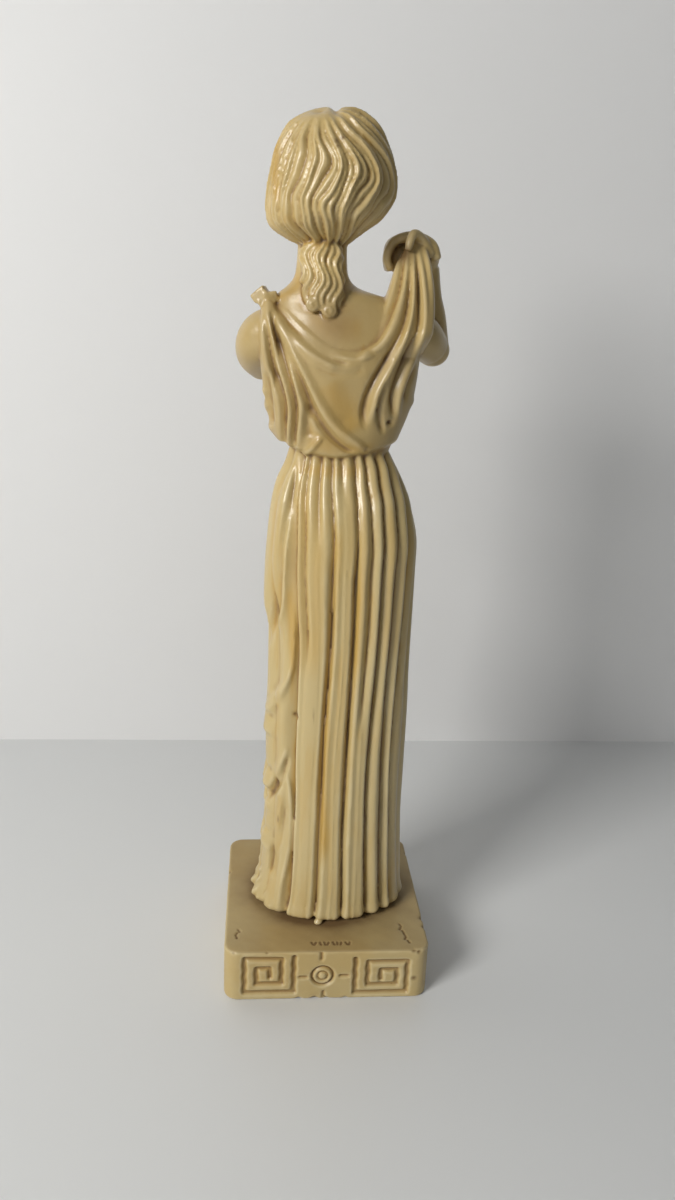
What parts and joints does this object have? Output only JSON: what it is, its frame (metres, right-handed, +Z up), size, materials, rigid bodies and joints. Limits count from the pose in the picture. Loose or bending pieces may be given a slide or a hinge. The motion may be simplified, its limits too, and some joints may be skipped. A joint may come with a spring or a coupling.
{
  "type": "greek goddess statue",
  "caption": "Standing goddess statuette in a long pleated dress, lifting the end of her cloth at the shoulder, on a square plinth with an incised key pattern.",
  "frame": {"origin": "middle of the plinth's underside", "axes": "+Z up, along the figure; she faces -Y, and her left hand is on the +X side"},
  "size_m": [0.07, 0.07, 0.2811],
  "materials": {
    "varnished_resin": "aged ivory resin under a yellowed gloss varnish, brown grime in the folds",
    "bare_resin": "aged ivory resin, satin, with chipped edges and brown grime"
  },
  "bodies": {
    "root": {"figure": "varnished_resin", "plinth": "bare_resin"}
  },
  "joints": []
}
